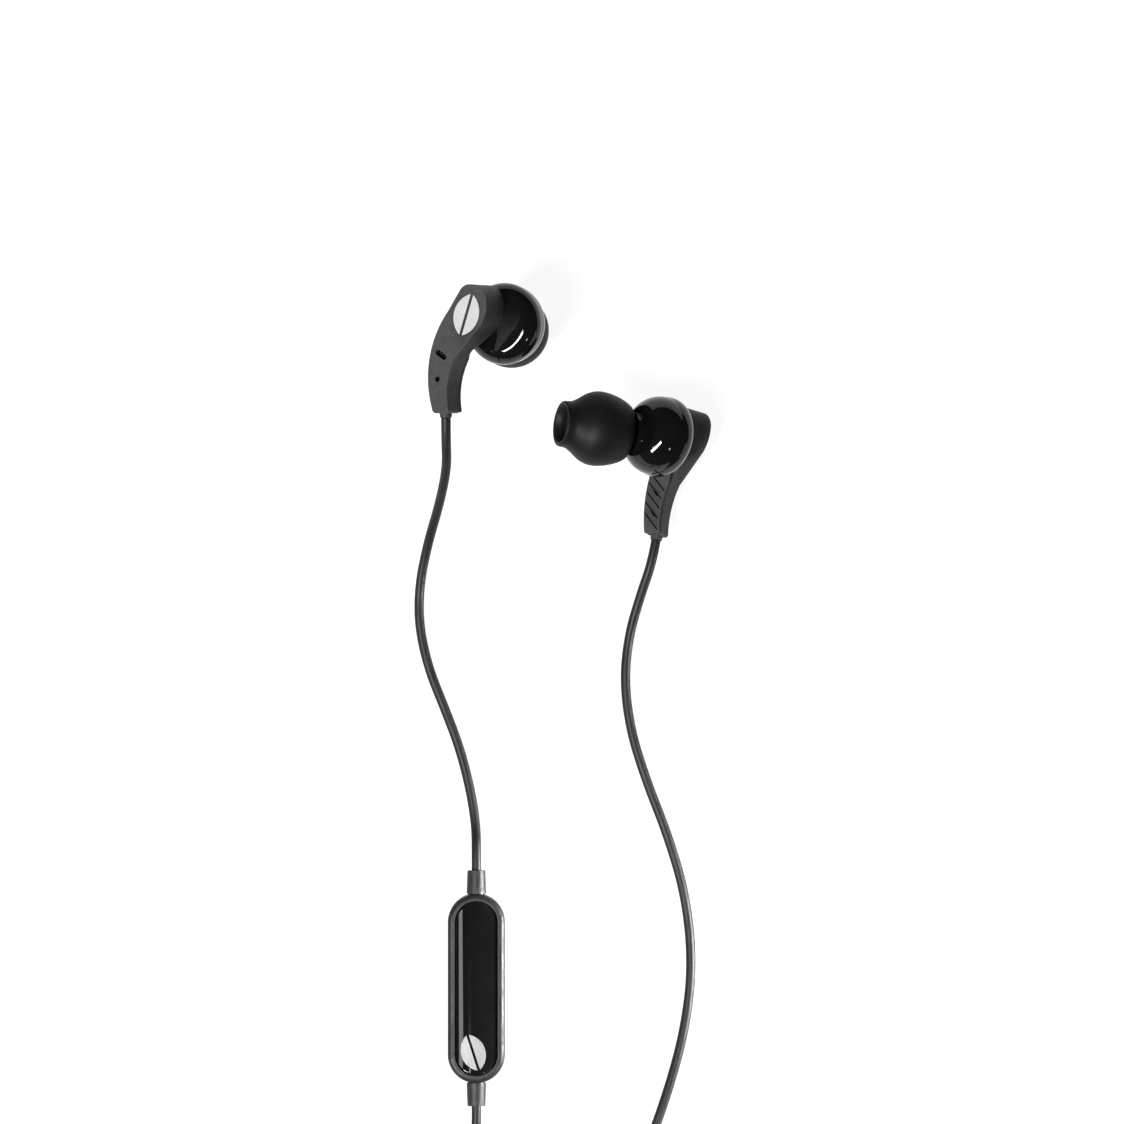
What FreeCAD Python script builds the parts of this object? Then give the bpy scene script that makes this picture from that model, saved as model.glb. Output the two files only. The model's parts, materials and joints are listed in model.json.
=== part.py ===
"""Wired in-ear earphones with an in-line remote, laid out flat, in millimetres.

The table they lie on is z = 0. Each earbud is drawn in a frame of its own: z is the axis of the
round capsule and points into the ear, y points up the stem, and the origin is the middle of the
capsule. The nozzle leaves the capsule at an angle, so the ear tip has a frame of its own, with z
along the nozzle. The right earbud is the left one's mirror image.
"""
import FreeCAD, Part
import math
import os

from FreeCAD import Matrix, Vector

# ---- what lies on the table is drawn this far above it
LIFT = 0.05

# ---- driving dimensions: capsule and nozzle
CAPSULE_R = 6.6
CAPSULE_BACK_Z = -4.2
CAPSULE_SPLIT_Z = -0.6
NOZZLE_R = 2.6
NOZZLE_BORE_R = 1.9
NOZZLE_END_Z = 12.5
FRONT_FACE_Z = 3.4
NOZZLE_ANGLE = 19.0
NOZZLE_AZIMUTH = -12.0
NOZZLE_SHIFT = 1.0
NECK_R = 2.3
NECK_BORE_R = 1.5
NECK_X, NECK_Y = 2.2, 1.8
NECK_LENGTH = 4.0

# ---- driving dimensions: ear tip
TIP_BORE_R = NOZZLE_R + 0.05
TIP_MOUTH_R = 3.8
TIP_BULB_R = 6.2
TIP_MOUTH_Z = 15.9
TIP_CORE_R = 3.45
TIP_CORE_Z = 6.0
TIP_SKIRT_Z = 4.2

# ---- driving dimensions: cover and stem
COVER_FACE_Z = -10.5
COVER_WALL = 0.7
STEM_END_Y = -14.8
STEM_BACK_TOP = Vector(0, -4.5, -7.9)
STEM_BACK_FOOT = Vector(0, -16.0, -8.3)
STEM_FLARE = 0.38
LID_THICK = 0.7
LID_TOP_Y = -4.4
GROOVE_TURN = 38.0
GROOVE_X = 6.6
COLLAR_X = 6.85
COLLAR_Z = -9.05
COLLAR_R = 1.05
COLLAR_TIP_R = 0.95
COLLAR_LENGTH = 0.7
COLLAR_DEPTH = 2.0
PART_GAP = 0.05
EDGE_ROUND = 0.6
MARK_HALF_LONG = 3.6
MARK_HALF_WIDE = 2.3
MARK_SLIT = 0.5
MARK_TURN = 18.0
MARK_PLACE = (2.3, 1.3)
MARK_FIT = 0.02
VENT_LENGTH = 2.3
VENT_WIDTH = 0.9
VENT_TURN = -55.0
VENT_PLACE = (7.0, -5.2)
MIC_HOLE_R = 0.45
MIC_HOLE_PLACE = (7.7, -9.2)
GROOVE_COUNT = 5
GROOVE_FIRST_Y = -5.9
GROOVE_PITCH = 1.75

# ---- driving dimensions: cords
BRANCH_R = 0.8
MAIN_R = 1.0
COIL_MID_R = 11.0
COIL_COLUMNS = 4
COIL_LAYERS = 4
COIL_CENTRE = Vector(0, -193, 0)
TIE_WIDTH = 4.0
TIE_WALL = 0.5
TIE_GAP = 0.3

# ---- driving dimensions: remote
REMOTE_CENTRE = Vector(-15.4, -49.0, 0)
REMOTE_WIDTH = 9.5
REMOTE_LENGTH = 31.5
REMOTE_BACK_TOP = 1.6
REMOTE_RIM_TOP = 4.5
REMOTE_WALL = 0.7
BUTTON_TOP = 4.9
BUTTON_WIDTH = 6.9
BUTTON_CROWN_R = 9.0
BUTTON_GAP = 0.12
BUTTON_LENGTH = REMOTE_LENGTH - 2.6
BUTTON_FOOT = 3.2
FLANGE_EXTRA = 0.6
LIP_LOW = 3.6
REMOTE_FLOOR = 0.8
REMOTE_MARK_PLACE = (-0.5, -10.6)
REMOTE_MARK_SCALE = 0.88
BOARD_THICK = 0.5
BOOT_Z = 2.4
BOOT_STUB_R = 1.45
BOOT_ROOT_R = 1.65
BOOT_TIP_R = 1.5
BOOT_LENGTH = 3.8

# ---- driving dimensions: splitter and plug
SPLITTER_Y = -154.0
SPLITTER_LENGTH = 14.0
SPLITTER_HEIGHT = 3.1
JACK_R = 1.75
JACK_LENGTH = 14.0
HANDLE_R = 3.2
HANDLE_LENGTH = 16.0
PLUG_RELIEF = 8.0
PLUG_RELIEF_TIP_R = 1.5
PLUG_RELIEF_ROOT_R = 2.3
BAND_GAP = 0.6
BANDS = [("plug_sleeve", 0.0, 4.6), ("plug_ring_inner", 5.2, 7.4), ("plug_ring_outer", 8.0, 10.0)]
PLUG_START = Vector(20.0, -193.6, HANDLE_R + LIFT)

# ---- where the earbuds lie: capsule middle, direction into the ear, direction up the stem
LEFT_PLACE = Vector(-10.0, 61.1, 17.2)
LEFT_TILT = 27.0
RIGHT_PLACE = Vector(14.1, 42.9, 13.1)
RIGHT_LIFT = 37.0
RIGHT_TURN = 16.0
RIGHT_STEM_LEAN = Vector(-0.06, 1, 0)

# ---- cord routes, end to end, chosen by hand
LEFT_UPPER_ROUTE = [
    (-20.21, 45.6, 22.15), (-20.2, 42.2, 21.5), (-20.1, 37.4, 17.3), (-21.4, 31.6, 10.4),
    (-23.4, 25.2, 4.4), (-24.9, 18.2, 1.2), (-25.0, 11.4, 0.85), (-23.4, 4.2, 0.85),
    (-20.8, -2.2, 0.85), (-18.2, -9.0, 0.85), (-16.4, -16.0, 0.85), (-15.5, -21.8, 1.1),
    (-15.4, -25.8, BOOT_Z), (-15.4, -29.4, BOOT_Z),
]
LEFT_LOWER_ROUTE = [
    (-15.4, -68.6, BOOT_Z), (-15.4, -72.2, BOOT_Z), (-15.6, -77.6, 1.1), (-16.6, -86.0, 0.85),
    (-19.6, -97.0, 0.85), (-18.6, -108.0, 0.85), (-13.6, -118.0, 0.85), (-11.6, -128.0, 0.85),
    (-9.6, -137.0, 0.85), (-5.0, -144.0, 0.85), (-1.6, -150.0, 1.2), (-1.3, -154.0, 1.6),
]
RIGHT_ROUTE = [
    (14.46, 25.54, 4.87), (13.8, 21.8, 5.1), (11.9, 16.4, 3.1), (10.0, 9.8, 1.1), (9.2, 2.4, 0.85),
    (10.2, -6.0, 0.85), (12.9, -14.6, 0.85), (16.4, -23.4, 0.85), (19.4, -33.4, 0.85),
    (20.6, -44.8, 0.85), (19.4, -55.6, 0.85), (16.6, -66.0, 0.85), (13.0, -76.0, 0.85),
    (10.6, -86.0, 0.85), (12.6, -97.0, 0.85), (17.6, -105.0, 0.85), (18.4, -115.0, 0.85),
    (13.2, -123.0, 0.85), (8.8, -131.0, 0.85), (7.2, -140.0, 0.85), (3.4, -147.0, 1.0),
    (1.4, -151.0, 1.4), (1.3, -154.0, 1.6),
]
MAIN_ROUTE = [
    (0.0, -168.0, 1.6), (-0.1, -172.0, 1.5), (-3.0, -176.4, 1.1), (-8.0, -180.0, 1.05),
    (-12.2, -184.0, 1.05), (-14.0, -188.6, 1.05), (-13.9, -193.0, 1.05),
]
PLUG_ROUTE = [
    (0.0, -207.0, 4.5), (6.0, -207.4, 4.1), (12.5, -206.4, 3.5), (17.6, -202.8, 3.25),
    (19.9, -197.4, 3.25), (20.0, -193.6, 3.25),
]

# ---- longer than any piece, for cutters
FAR = 60.0


def save(shape, name):
    """Write one named piece and print its size."""
    shape.exportStep("parts/%s.step" % name)
    print("%-26s %9.3f mm3  solids %d  valid %s" % (name, shape.Volume, len(shape.Solids), shape.isValid()))


def vec(x, y, z=0.0):
    return Vector(x, y, z)


def arc(start, middle, end):
    return Part.Arc(start, middle, end).toShape()


def line(start, end):
    return Part.LineSegment(start, end).toShape()


def revolved(edges):
    """Turn a closed outline in the x-z plane about the z axis."""
    face = Part.Face(Part.Wire(edges))
    return face.revolve(Vector(), Vector(0, 0, 1), 360)


def lathe(points):
    """Turn a closed polygon of (radius, z) points about the z axis."""
    corners = [Vector(r, 0, z) for r, z in points]
    return revolved(Part.makePolygon(corners + corners[:1]).Edges)


def disc(radius, low, high, x=0.0, y=0.0):
    return Part.makeCylinder(radius, high - low, Vector(x, y, low))


def ring(outer, inner, low, high):
    return disc(outer, low, high).cut(disc(inner, low - 1, high + 1))


def prism(face, low, high):
    """Raise a flat face in z = 0 from one height to another."""
    base = face.copy()
    base.translate(Vector(0, 0, low))
    return base.extrude(Vector(0, 0, high - low))


def stadium(width, length):
    """Flat pill outline with its long axis along y."""
    r = width / 2
    y = length / 2 - r
    edges = [
        line(vec(r, -y), vec(r, y)),
        arc(vec(r, y), vec(0, y + r), vec(-r, y)),
        line(vec(-r, y), vec(-r, -y)),
        arc(vec(-r, -y), vec(0, -y - r), vec(r, -y)),
    ]
    return Part.Face(Part.Wire(edges))


def rounded(shape, radius, pick):
    """Fillet the edges that pick() chooses, or leave the shape as it was if that fails."""
    edges = [edge for edge in shape.Edges if pick(edge)]
    try:
        result = shape.makeFillet(radius, edges)
    except Part.OCCError:
        return shape
    return result if result.isValid() and result.Volume > 0 else shape


def at_height(z):
    """Choose the edges that lie wholly at one height."""
    def pick(edge):
        box = edge.BoundBox
        return abs(box.ZMin - z) < 1e-4 and abs(box.ZMax - z) < 1e-4
    return pick


# ---- cords -------------------------------------------------------------------------------------

def tube(points, radius, name):
    """Sweep a round cord along straight runs joined by tangent arcs."""
    route = [Vector(*point) for point in points]
    edges = []
    start = route[0]
    tightest = FAR
    for before, corner, after in zip(route, route[1:], route[2:]):
        back = before - corner
        ahead = after - corner
        turn = math.pi - back.getAngle(ahead)
        reach = 0.45 * min(back.Length, ahead.Length)
        tightest = min(tightest, reach / math.tan(turn / 2))
        back.normalize()
        ahead.normalize()
        enter = corner + back * reach
        leave = corner + ahead * reach
        half = math.pi / 2 - turn / 2
        centre_way = (back + ahead).normalize()
        to_centre = reach / math.cos(half)
        bend_r = reach * math.tan(half)
        middle = corner + centre_way * (to_centre - bend_r)
        edges.append(line(start, enter))
        edges.append(arc(enter, middle, leave))
        start = leave
    edges.append(line(start, route[-1]))
    path = Part.Wire(edges)
    section = Part.Wire([Part.Circle(route[0], route[1] - route[0], radius).toShape()])
    cord = path.makePipeShell([section], True, False)
    ratio = cord.Volume / (math.pi * radius ** 2 * path.Length)
    print("cord %-18s length %7.1f  tightest arc %5.1f  volume ratio %.4f  lowest %.3f"
          % (name, path.Length, tightest, ratio, cord.optimalBoundingBox().ZMin))
    return cord


def coil_height():
    """Height of the coil's layers, which nest between each other."""
    return (1 + (COIL_LAYERS - 1) * math.sqrt(3) / 2) * 2 * MAIN_R


def coil_solid():
    """Outer shape of the put-away coil: a ring of rounded section, pressed in where the tie holds it."""
    half_width = COIL_COLUMNS * MAIN_R
    inner = COIL_MID_R - half_width
    outer = COIL_MID_R + half_width
    body = ring(outer, inner, LIFT, LIFT + coil_height())
    body = rounded(body, MAIN_R * 0.9, lambda edge: True)
    body.translate(COIL_CENTRE)
    return body.cut(tie())


def tie():
    """Flat strap round the coil's bundle, on the side next to the plug."""
    half_width = COIL_COLUMNS * MAIN_R + TIE_GAP
    height = coil_height() + 2 * TIE_GAP
    outside = Part.makeBox(2 * (half_width + TIE_WALL), TIE_WIDTH, height + 2 * TIE_WALL)
    inside = Part.makeBox(2 * half_width, 2 * TIE_WIDTH, height, Vector(TIE_WALL, -TIE_WIDTH / 2, TIE_WALL))
    strap = outside.cut(inside)
    strap = rounded(strap, 0.2, lambda edge: abs(edge.Length - TIE_WIDTH) < 0.01)
    strap.translate(COIL_CENTRE + Vector(COIL_MID_R - half_width - TIE_WALL, -TIE_WIDTH / 2, 0))
    return strap


# ---- earbud pieces, in the earbud's own frame ---------------------------------------------------

def capsule_profile(grow):
    """Outer outline of the closed capsule without its nozzle, grown by a gap."""
    back = CAPSULE_BACK_Z - grow
    r = CAPSULE_R + grow
    front = FRONT_FACE_Z + grow
    return [
        line(vec(0, 0, back), vec(4.6, 0, back)),
        arc(vec(4.6, 0, back), vec(r - 0.55, 0, back + 0.85), vec(r, 0, CAPSULE_SPLIT_Z)),
        arc(vec(r, 0, CAPSULE_SPLIT_Z), vec(r - 0.75, 0, front - 1.6), vec(4.3, 0, front - 0.15)),
        line(vec(4.3, 0, front - 0.15), vec(0, 0, front)),
        line(vec(0, 0, front), vec(0, 0, back)),
    ]


def capsule_envelope(grow):
    return revolved(capsule_profile(grow))


def along_nozzle(shape):
    """Lean a piece that was drawn along z so that it lies along the nozzle."""
    leaning = shape.copy()
    leaning.rotate(Vector(), Vector(0, 1, 0), NOZZLE_ANGLE)
    leaning.translate(Vector(NOZZLE_SHIFT, 0, 0))
    leaning.rotate(Vector(), Vector(0, 0, 1), NOZZLE_AZIMUTH)
    return leaning


def rear_housing():
    shell = capsule_envelope(0).common(disc(FAR, -FAR, CAPSULE_SPLIT_Z))
    hollow = lathe([(0, -3.6), (4.0, -3.6), (5.3, -2.4), (5.3, 0), (0, 0)])
    neck = disc(NECK_R, CAPSULE_BACK_Z - NECK_LENGTH, CAPSULE_BACK_Z + 0.1, NECK_X, NECK_Y)
    bore = disc(NECK_BORE_R, -FAR, -3.5, NECK_X, NECK_Y)
    return shell.cut(hollow).fuse(neck).cut(bore).removeSplitter()


def front_housing():
    shell = capsule_envelope(0).common(disc(FAR, CAPSULE_SPLIT_Z, FAR))
    nozzle = revolved([
        line(vec(0, 0, FRONT_FACE_Z - 1), vec(3.6, 0, FRONT_FACE_Z - 1)),
        line(vec(3.6, 0, FRONT_FACE_Z - 1), vec(3.6, 0, FRONT_FACE_Z)),
        arc(vec(3.6, 0, FRONT_FACE_Z), vec(2.85, 0, FRONT_FACE_Z + 0.3), vec(NOZZLE_R, 0, FRONT_FACE_Z + 1)),
        line(vec(NOZZLE_R, 0, FRONT_FACE_Z + 1), vec(NOZZLE_R, 0, NOZZLE_END_Z - 0.3)),
        line(vec(NOZZLE_R, 0, NOZZLE_END_Z - 0.3), vec(NOZZLE_R - 0.3, 0, NOZZLE_END_Z)),
        line(vec(NOZZLE_R - 0.3, 0, NOZZLE_END_Z), vec(0, 0, NOZZLE_END_Z)),
        line(vec(0, 0, NOZZLE_END_Z), vec(0, 0, FRONT_FACE_Z - 1)),
    ])
    hollow = lathe([(0, -1), (5.9, -1), (5.9, 0.2), (4.9, 1.5), (2.5, 2.1), (0, 2.1)])
    bore = along_nozzle(disc(NOZZLE_BORE_R, 1.0, FAR))
    return shell.fuse(along_nozzle(nozzle)).cut(hollow).cut(bore).removeSplitter()


def nozzle_mesh():
    return along_nozzle(disc(NOZZLE_BORE_R - 0.02, NOZZLE_END_Z - 0.5, NOZZLE_END_Z - 0.35))


def driver_basket():
    flange = [(4.6, 1.2), (4.6, -2.3), (3.15, -2.3), (3.15, -2.7), (5.0, -2.7), (5.0, CAPSULE_SPLIT_Z),
              (5.85, CAPSULE_SPLIT_Z), (5.85, -0.1), (5.0, -0.1), (5.0, 1.2)]
    return lathe(flange)


def yoke():
    return lathe([(0, -3.3), (3.1, -3.3), (3.1, -0.5), (2.6, -0.5), (2.6, -2.8), (0, -2.8)])


def magnet():
    return disc(1.9, -2.8, -1.2)


def top_plate():
    return disc(1.95, -1.2, -0.6)


def voice_coil():
    return ring(2.35, 2.15, -1.4, 0.6)


def diaphragm():
    """Thin dome with a half-round surround."""
    thick = 0.12
    crown = 0.4
    return revolved([
        line(vec(0, 0, 1.3), vec(crown, 0, 1.3)),
        arc(vec(crown, 0, 1.3), vec(1.4, 0, 1.08), vec(2.35, 0, 0.6)),
        arc(vec(2.35, 0, 0.6), vec(3.3, 0, 1.1), vec(4.25, 0, 0.6)),
        line(vec(4.25, 0, 0.6), vec(4.25, 0, 0.6 + thick)),
        arc(vec(4.25, 0, 0.6 + thick), vec(3.3, 0, 1.1 + thick), vec(2.35, 0, 0.6 + thick)),
        arc(vec(2.35, 0, 0.6 + thick), vec(1.4, 0, 1.08 + thick), vec(crown, 0, 1.3 + thick)),
        line(vec(crown, 0, 1.3 + thick), vec(0, 0, 1.3 + thick)),
        line(vec(0, 0, 1.3 + thick), vec(0, 0, 1.3)),
    ])


def ear_tip():
    """Silicone tip: a core tube that grips the nozzle and a bulb that folds back over it."""
    outer_lip = vec(4.05, 0, 14.5)
    bulb_front = vec(5.75, 0, 11.6)
    skirt = vec(4.5, 0, TIP_SKIRT_Z)
    skirt_in = vec(4.05, 0, TIP_SKIRT_Z + 0.15)
    inner_front = vec(5.2, 0, 11.4)
    root = vec(TIP_CORE_R, 0, 13.3)
    return along_nozzle(revolved([
        arc(vec(TIP_MOUTH_R, 0, TIP_MOUTH_Z), vec(3.82, 0, 15.1), outer_lip),
        arc(outer_lip, vec(4.85, 0, 12.85), bulb_front),
        arc(bulb_front, vec(TIP_BULB_R, 0, 9.4), skirt),
        line(skirt, skirt_in),
        arc(skirt_in, vec(TIP_BULB_R - 0.5, 0, 9.3), inner_front),
        arc(inner_front, vec(4.5, 0, 12.5), root),
        line(root, vec(TIP_CORE_R, 0, TIP_CORE_Z)),
        line(vec(TIP_CORE_R, 0, TIP_CORE_Z), vec(TIP_BORE_R, 0, TIP_CORE_Z)),
        line(vec(TIP_BORE_R, 0, TIP_CORE_Z), vec(TIP_BORE_R, 0, TIP_MOUTH_Z - 1.0)),
        arc(vec(TIP_BORE_R, 0, TIP_MOUTH_Z - 1.0), vec(2.8, 0, TIP_MOUTH_Z - 0.4),
            vec(3.2, 0, TIP_MOUTH_Z)),
        line(vec(3.2, 0, TIP_MOUTH_Z), vec(TIP_MOUTH_R, 0, TIP_MOUTH_Z)),
    ]))


def cover_outline(inset=0.0, z=COVER_FACE_Z):
    """Bent outline of the cover: a wide head over the capsule that narrows into the stem.

    Away from the face the stem's inner wall leans out, so the outline there is wider at that depth.
    """
    flare = STEM_FLARE * (z - COVER_FACE_Z)
    crown = vec(1.7, 6.3)
    temple = vec(-1.4, 3.2)
    throat = vec(-0.3, -0.5)
    heel = vec(4.6 - flare, -6.0)
    inner_end = vec(5.65 - flare, STEM_END_Y + 0.5)
    outer_end = vec(8.7, STEM_END_Y + 0.8)
    inner_foot = vec(6.1 - flare, STEM_END_Y)
    outer_foot = vec(8.0, STEM_END_Y)
    brow = vec(5.6, 2.1)
    edges = [
        arc(crown, vec(-0.4, 5.5), temple),
        arc(temple, vec(-1.1, 1.1), throat),
        line(throat, heel),
        arc(heel, vec(5.75 - flare, -9.6), inner_end),
        arc(inner_end, vec(5.78 - flare, STEM_END_Y + 0.14), inner_foot),
        line(inner_foot, outer_foot),
        arc(outer_foot, vec(8.47, STEM_END_Y + 0.26), outer_end),
        arc(outer_end, vec(9.25, -6.4), brow),
        line(brow, vec(3.6, 5.2)),
        arc(vec(3.6, 5.2), vec(2.85, 6.0), crown),
    ]
    face = Part.Face(Part.Wire(edges))
    if inset:
        face = face.makeOffset2D(-inset)
    return face


def cover_block(inset, low, high):
    """Solid between two depths whose section is the cover's outline at each depth."""
    sections = []
    for z in (low, high):
        wire = cover_outline(inset, z).OuterWire
        wire.translate(Vector(0, 0, z))
        sections.append(wire)
    return Part.makeLoft(sections, True, True)


def cover_side(extra):
    """Side view of the cover: its back edge climbs from the stem up over the capsule."""
    front = COVER_FACE_Z - 1
    back = [(8, -1.6), (0.5, -2.6), (-1.8, -5.2), (STEM_BACK_TOP.y, STEM_BACK_TOP.z),
            (STEM_BACK_FOOT.y, STEM_BACK_FOOT.z)]
    points = [Vector(-FAR, 8, front)] + [Vector(-FAR, y, z + extra) for y, z in back]
    points.append(Vector(-FAR, STEM_BACK_FOOT.y, front))
    return Part.Face(Part.makePolygon(points + points[:1])).extrude(Vector(2 * FAR, 0, 0))


def vent_slot(grow, low, high):
    """Pill-shaped block at the vent, grown by a margin all round."""
    body = prism(stadium(VENT_WIDTH + 2 * grow, VENT_LENGTH + 2 * grow), low, high)
    body.rotate(Vector(), Vector(0, 0, 1), VENT_TURN)
    body.translate(vec(*VENT_PLACE))
    return body


def collar_cutter():
    start = Vector(COLLAR_X, STEM_END_Y - 1, COLLAR_Z)
    return Part.makeCylinder(COLLAR_R + PART_GAP, COLLAR_DEPTH + 1.1, start, Vector(0, 1, 0))


def emblem_shape(grow, low, high):
    """Generic mark: a pointed oval, like a leaf."""
    half_long = MARK_HALF_LONG + grow
    half_wide = MARK_HALF_WIDE + grow
    top = vec(0, half_long)
    foot = vec(0, -half_long)
    leaf = Part.Face(Part.Wire([arc(top, vec(half_wide, 0), foot), arc(foot, vec(-half_wide, 0), top)]))
    return prism(leaf, low, high)


def leaf_mark(low, high):
    """The leaf with a slit along its middle, split in two halves."""
    vein = Part.makeBox(MARK_SLIT, FAR, FAR, Vector(-MARK_SLIT / 2, -FAR / 2, -FAR / 2))
    halves = emblem_shape(0, low, high).cut(vein)
    return Part.makeCompound(halves.Solids)


def place_mark(shape):
    """Put a mark on the cover's head, leaning like the stem."""
    mark = shape.copy()
    mark.rotate(Vector(), Vector(0, 0, 1), MARK_TURN)
    mark.translate(vec(*MARK_PLACE))
    return mark


def emblem():
    return place_mark(leaf_mark(COVER_FACE_Z - 0.05, COVER_FACE_Z + 0.2))


def outer_cover():
    solid = cover_block(0, COVER_FACE_Z, 0)
    solid = rounded(solid, EDGE_ROUND, at_height(COVER_FACE_Z))
    solid = solid.common(cover_side(0))
    solid = solid.cut(cover_block(COVER_WALL, COVER_FACE_Z + COVER_WALL, 1))
    solid = solid.cut(capsule_envelope(PART_GAP))
    solid = solid.cut(disc(NECK_R + PART_GAP, CAPSULE_BACK_Z - NECK_LENGTH - PART_GAP, 0, NECK_X, NECK_Y))
    through = (COVER_FACE_Z - 1, COVER_FACE_Z + 2)
    solid = solid.cut(vent_slot(0, *through))
    solid = solid.cut(disc(MIC_HOLE_R, *through, *MIC_HOLE_PLACE))
    solid = solid.cut(collar_cutter())
    solid = solid.cut(place_mark(emblem_shape(MARK_FIT, COVER_FACE_Z - 1, COVER_FACE_Z + 0.2)))
    return max(solid.Solids, key=lambda piece: piece.Volume)


def on_lid(cutter, x, y, depth):
    """Lay a cutter that was drawn about the origin at one depth along the lid's slanted face."""
    run = STEM_BACK_TOP - STEM_BACK_FOOT
    slope = run.z / run.y
    z = STEM_BACK_TOP.z + (y - STEM_BACK_TOP.y) * slope + LID_THICK
    cutter.rotate(Vector(), Vector(0, 0, 1), GROOVE_TURN)
    cutter.rotate(Vector(), Vector(1, 0, 0), math.degrees(math.atan(slope)))
    cutter.translate(Vector(x, y, z - depth))
    return cutter


def lid_grooves():
    """Slanted grooves; the second and the fourth hold a deeper slot."""
    cutters = []
    for number in range(GROOVE_COUNT):
        y = GROOVE_FIRST_Y - GROOVE_PITCH * number
        cutters.append(on_lid(Part.makeBox(12, 0.3, 3.0, Vector(-6, -0.15, 0)), GROOVE_X, y, 0.3))
        if number in (1, 3):
            cutters.append(on_lid(Part.makeBox(1.8, 0.7, 3.0, Vector(-0.9, -0.35, 0)), GROOVE_X, y, 0.5))
    return Part.makeCompound(cutters).common(cover_block(0.5, COVER_FACE_Z, 0))


def inner_cover():
    """Ribbed lid that closes the stem on the side that faces the head."""
    solid = cover_block(0.15, COVER_FACE_Z, 0).common(cover_side(LID_THICK))
    solid = solid.cut(cover_side(PART_GAP))
    below = Part.makeBox(2 * FAR, 2 * FAR, 2 * FAR, Vector(-FAR, LID_TOP_Y - 2 * FAR, -FAR))
    solid = solid.common(below)
    solid = solid.cut(capsule_envelope(PART_GAP))
    solid = solid.cut(lid_grooves())
    solid = solid.cut(collar_cutter())
    return max(solid.Solids, key=lambda piece: piece.Volume)


def vent_mesh():
    """Cloth behind the vent slot, trimmed to fit between the cover's walls."""
    low = COVER_FACE_Z + COVER_WALL + 0.02
    cloth = vent_slot(0.25, low, low + 0.15)
    return cloth.common(cover_block(COVER_WALL + PART_GAP, low, low + 1))


def cord_collar():
    """Short tapered sleeve that the cord leaves the stem through."""
    mouth = Vector(COLLAR_X, STEM_END_Y, COLLAR_Z)
    inside = Part.makeCylinder(COLLAR_R, COLLAR_DEPTH, mouth, Vector(0, 1, 0))
    outside = Part.makeCone(COLLAR_R, COLLAR_TIP_R, COLLAR_LENGTH, mouth, Vector(0, -1, 0))
    return inside.fuse(outside).removeSplitter()


def placement_matrix(place, ear, up):
    """Matrix from the earbud's frame to the table's frame."""
    side = up.cross(ear)
    matrix = Matrix()
    matrix.A11, matrix.A21, matrix.A31 = side.x, side.y, side.z
    matrix.A12, matrix.A22, matrix.A32 = up.x, up.y, up.z
    matrix.A13, matrix.A23, matrix.A33 = ear.x, ear.y, ear.z
    matrix.A14, matrix.A24, matrix.A34 = place.x, place.y, place.z
    return matrix


def left_matrix():
    tilt = math.radians(LEFT_TILT)
    ear = Vector(math.sin(tilt), 0, -math.cos(tilt))
    return placement_matrix(LEFT_PLACE, ear, Vector(0, 1, 0))


def right_matrix():
    lift = math.radians(RIGHT_LIFT)
    turn = math.radians(RIGHT_TURN)
    ear = Vector(-math.cos(lift) * math.cos(turn), math.cos(lift) * math.sin(turn), math.sin(lift))
    up = (RIGHT_STEM_LEAN - ear * ear.dot(RIGHT_STEM_LEAN)).normalize()
    return placement_matrix(RIGHT_PLACE, ear, up)


def earbud_pieces():
    """Every piece of one earbud, by name."""
    return {
        "ear_tip": ear_tip(),
        "nozzle_mesh": nozzle_mesh(),
        "front_housing": front_housing(),
        "rear_housing": rear_housing(),
        "driver_basket": driver_basket(),
        "diaphragm": diaphragm(),
        "voice_coil": voice_coil(),
        "magnet": magnet(),
        "top_plate": top_plate(),
        "yoke": yoke(),
        "outer_cover": outer_cover(),
        "inner_cover": inner_cover(),
        "vent_mesh": vent_mesh(),
        "emblem": emblem(),
        "cord_collar": cord_collar(),
    }


# ---- remote, in its own frame: long axis along y, resting on z = 0 --------------------------------

def remote_hollow(low, high):
    return prism(stadium(REMOTE_WIDTH - 2 * REMOTE_WALL, REMOTE_LENGTH - 2 * REMOTE_WALL), low, high)


def remote_back():
    tray = prism(stadium(REMOTE_WIDTH, REMOTE_LENGTH), 0, REMOTE_BACK_TOP)
    tray = rounded(tray, 0.8, at_height(0))
    hollow = remote_hollow(REMOTE_FLOOR, LIP_LOW)
    return tray.cut(hollow).cut(boot_cutter())


def remote_shell():
    """Rim round the press plate, with a lip that holds the plate's flange down."""
    rim = prism(stadium(REMOTE_WIDTH, REMOTE_LENGTH), REMOTE_BACK_TOP, REMOTE_RIM_TOP)
    rim = rounded(rim, 0.9, at_height(REMOTE_RIM_TOP))
    opening = prism(stadium(BUTTON_WIDTH + 2 * BUTTON_GAP, BUTTON_LENGTH + 2 * BUTTON_GAP), 0, FAR)
    return rim.cut(remote_hollow(0, LIP_LOW)).cut(opening).cut(boot_cutter())


def crown(drop):
    """Long round bar whose top is the press plate's crowned face, lowered by a drop."""
    radius = BUTTON_CROWN_R - drop
    start = Vector(0, -FAR / 2, BUTTON_TOP - BUTTON_CROWN_R)
    return Part.makeCylinder(radius, FAR, start, Vector(0, 1, 0))


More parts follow.
